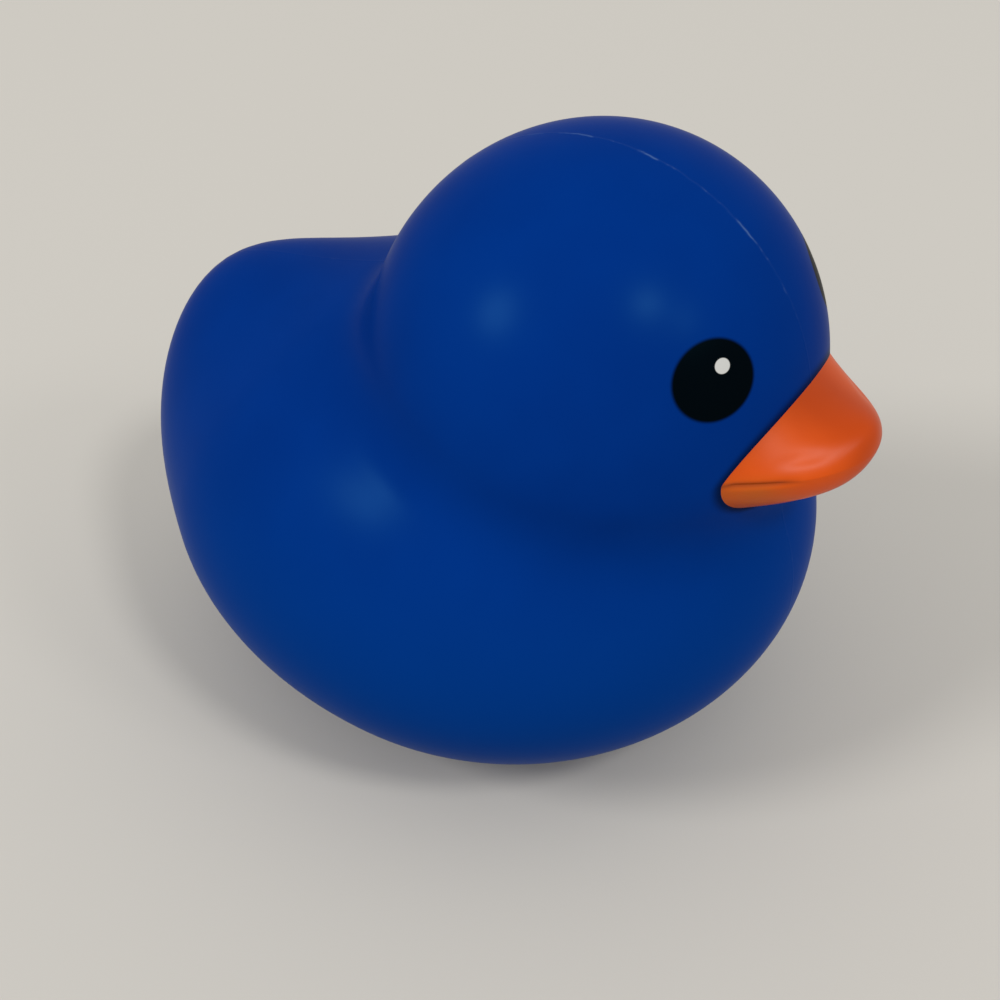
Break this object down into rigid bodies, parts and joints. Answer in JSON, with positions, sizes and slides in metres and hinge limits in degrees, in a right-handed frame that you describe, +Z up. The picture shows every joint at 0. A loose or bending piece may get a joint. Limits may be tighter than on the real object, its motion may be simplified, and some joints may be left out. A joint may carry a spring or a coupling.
{
  "type": "rubber duck",
  "caption": "Hollow soft-vinyl bath duck with a round head, close neck crease, blunt tail, short upturned bill and a flat base to stand on.",
  "frame": {"origin": "on the floor under the middle of the duck's length and width", "axes": "+Z up from the flat base, -Y towards the bill, X across the duck"},
  "size_m": [0.08, 0.1008, 0.0822],
  "materials": {
    "vinyl": "satin blue vinyl, with a sprayed orange bill and sprayed black eyes"
  },
  "bodies": {
    "root": {"duck": "vinyl"}
  },
  "joints": []
}
